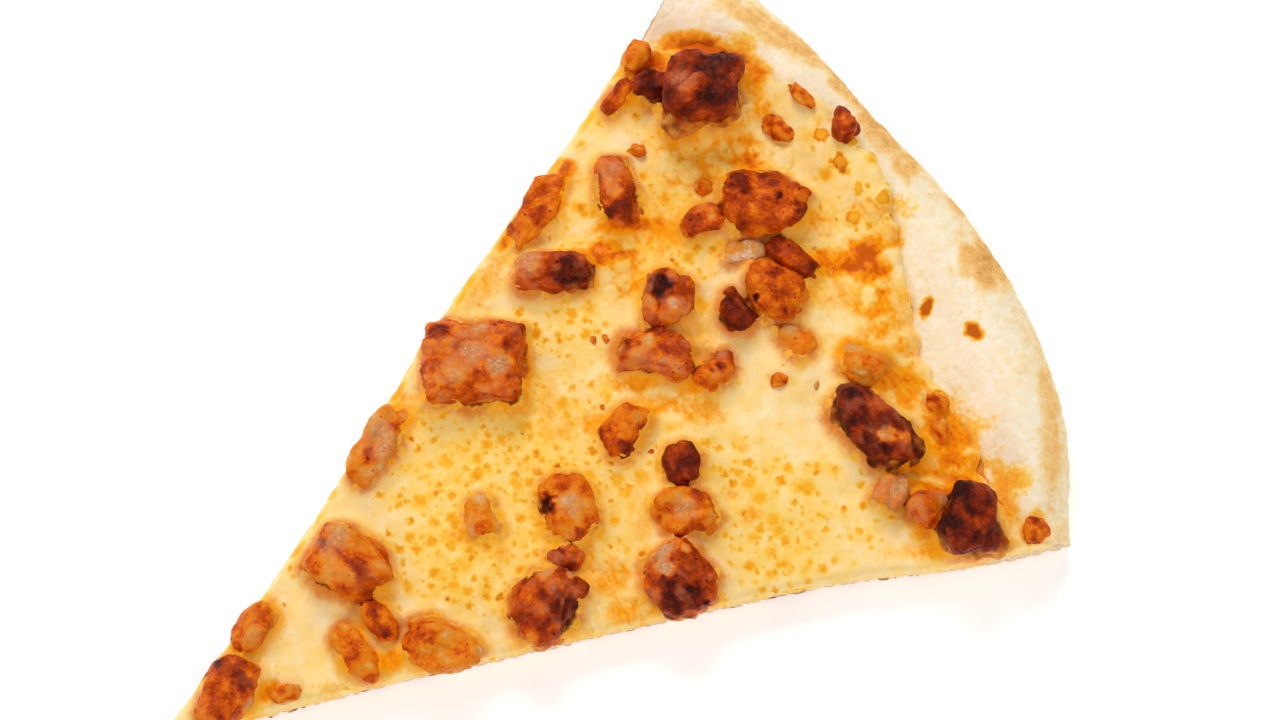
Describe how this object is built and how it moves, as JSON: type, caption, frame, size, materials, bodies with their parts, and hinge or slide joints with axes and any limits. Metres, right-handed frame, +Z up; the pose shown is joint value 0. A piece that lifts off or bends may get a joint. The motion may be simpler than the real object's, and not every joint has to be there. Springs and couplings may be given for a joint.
{
  "type": "pizza slice",
  "caption": "Wedge of thin-crust pizza with a low baked rim, a layer of sauce, melted golden-flecked cheese and glazed diced chicken.",
  "frame": {"origin": "middle of the slice's bounding box, on the surface that it rests on", "axes": "+Z up, through the layers; +Y along the slice, from the tip to the rim; +X to the right, seen from above with the rim away"},
  "size_m": [0.13, 0.175, 0.021],
  "materials": {
    "baked_dough": "dry, floury baked dough",
    "tomato_sauce": "moist cooked sauce",
    "melted_cheese": "oily melted cheese, toasted in specks",
    "glazed_chicken": "sticky glaze over cooked meat"
  },
  "bodies": {
    "root": {"crust": "baked_dough", "sauce": "tomato_sauce", "cheese": "melted_cheese", "chicken_tip": "glazed_chicken", "chicken_left_low": "glazed_chicken", "chicken_low_sliver_outer": "glazed_chicken", "chicken_low_sliver_inner": "glazed_chicken", "chicken_low_left": "glazed_chicken", "chicken_low_wedge": "glazed_chicken", "chicken_left_mid": "glazed_chicken", "chicken_left_large": "glazed_chicken", "chicken_left_log": "glazed_chicken", "chicken_left_upper": "glazed_chicken", "chicken_upper_finger": "glazed_chicken", "chicken_middle_knob": "glazed_chicken", "chicken_middle_slab": "glazed_chicken", "chicken_middle_small": "glazed_chicken", "chicken_right_flat": "glazed_chicken", "chicken_centre_nugget": "glazed_chicken", "chicken_centre_dark": "glazed_chicken", "chicken_centre_wedge": "glazed_chicken", "chicken_cut_dark": "glazed_chicken", "chicken_low_pale": "glazed_chicken", "chicken_low_cap": "glazed_chicken", "chicken_low_dark": "glazed_chicken", "chicken_left_flat": "glazed_chicken", "chicken_upper_orange": "glazed_chicken", "chicken_upper_tail": "glazed_chicken", "chicken_upper_crumble": "glazed_chicken", "chicken_pale_strip": "glazed_chicken", "chicken_right_slab": "glazed_chicken", "chicken_right_foot": "glazed_chicken", "chicken_rim_lump": "glazed_chicken", "chicken_rim_long": "glazed_chicken", "chicken_rim_cube": "glazed_chicken", "chicken_rim_round": "glazed_chicken", "chicken_rim_dark": "glazed_chicken", "chicken_top_large": "glazed_chicken", "chicken_top_lobe": "glazed_chicken", "chicken_top_slice": "glazed_chicken", "chicken_top_crumble": "glazed_chicken"}
  },
  "joints": []
}
